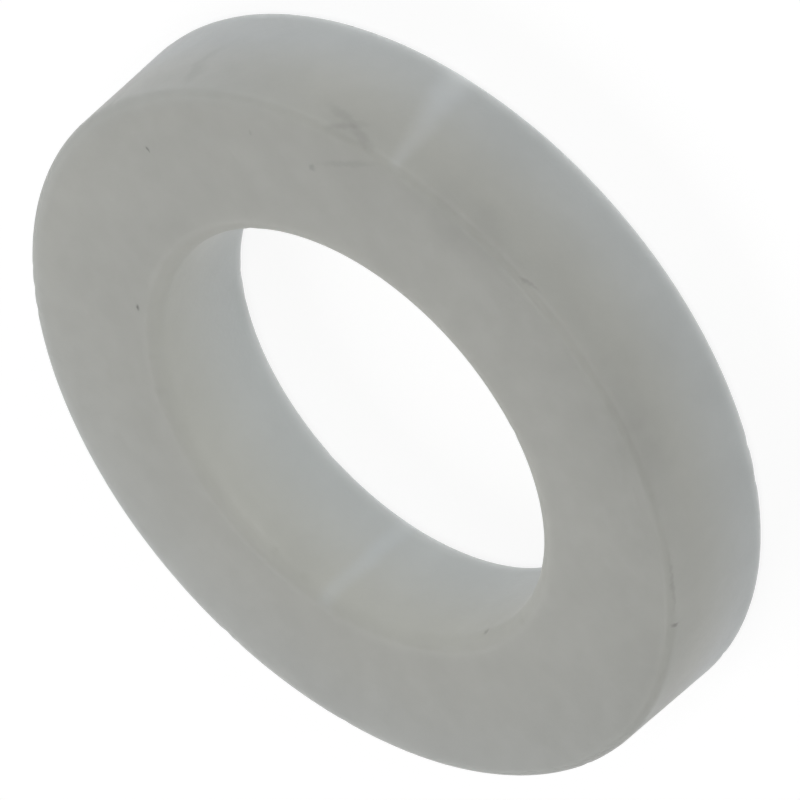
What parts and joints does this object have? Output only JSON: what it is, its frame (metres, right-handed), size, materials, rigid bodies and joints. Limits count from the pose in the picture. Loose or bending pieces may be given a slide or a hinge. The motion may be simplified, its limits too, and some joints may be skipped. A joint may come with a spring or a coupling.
{
  "type": "flat washer",
  "caption": "Thick flat ring washer in natural nylon, with a straight clearance bore, flat faces and rounded edges; it spreads the load under a screw head or nut.",
  "frame": {"origin": "on the bore axis, at the height of the bottom face", "axes": "+Z along the bore axis, from the bottom face to the top face, which is the slightly wider one"},
  "size_m": [0.018, 0.018, 0.0032],
  "materials": {
    "natural_nylon": "as moulded natural nylon, milky and slightly translucent, satin, with faint flow marks and small nicks"
  },
  "bodies": {
    "root": {"washer": "natural_nylon"}
  },
  "joints": []
}
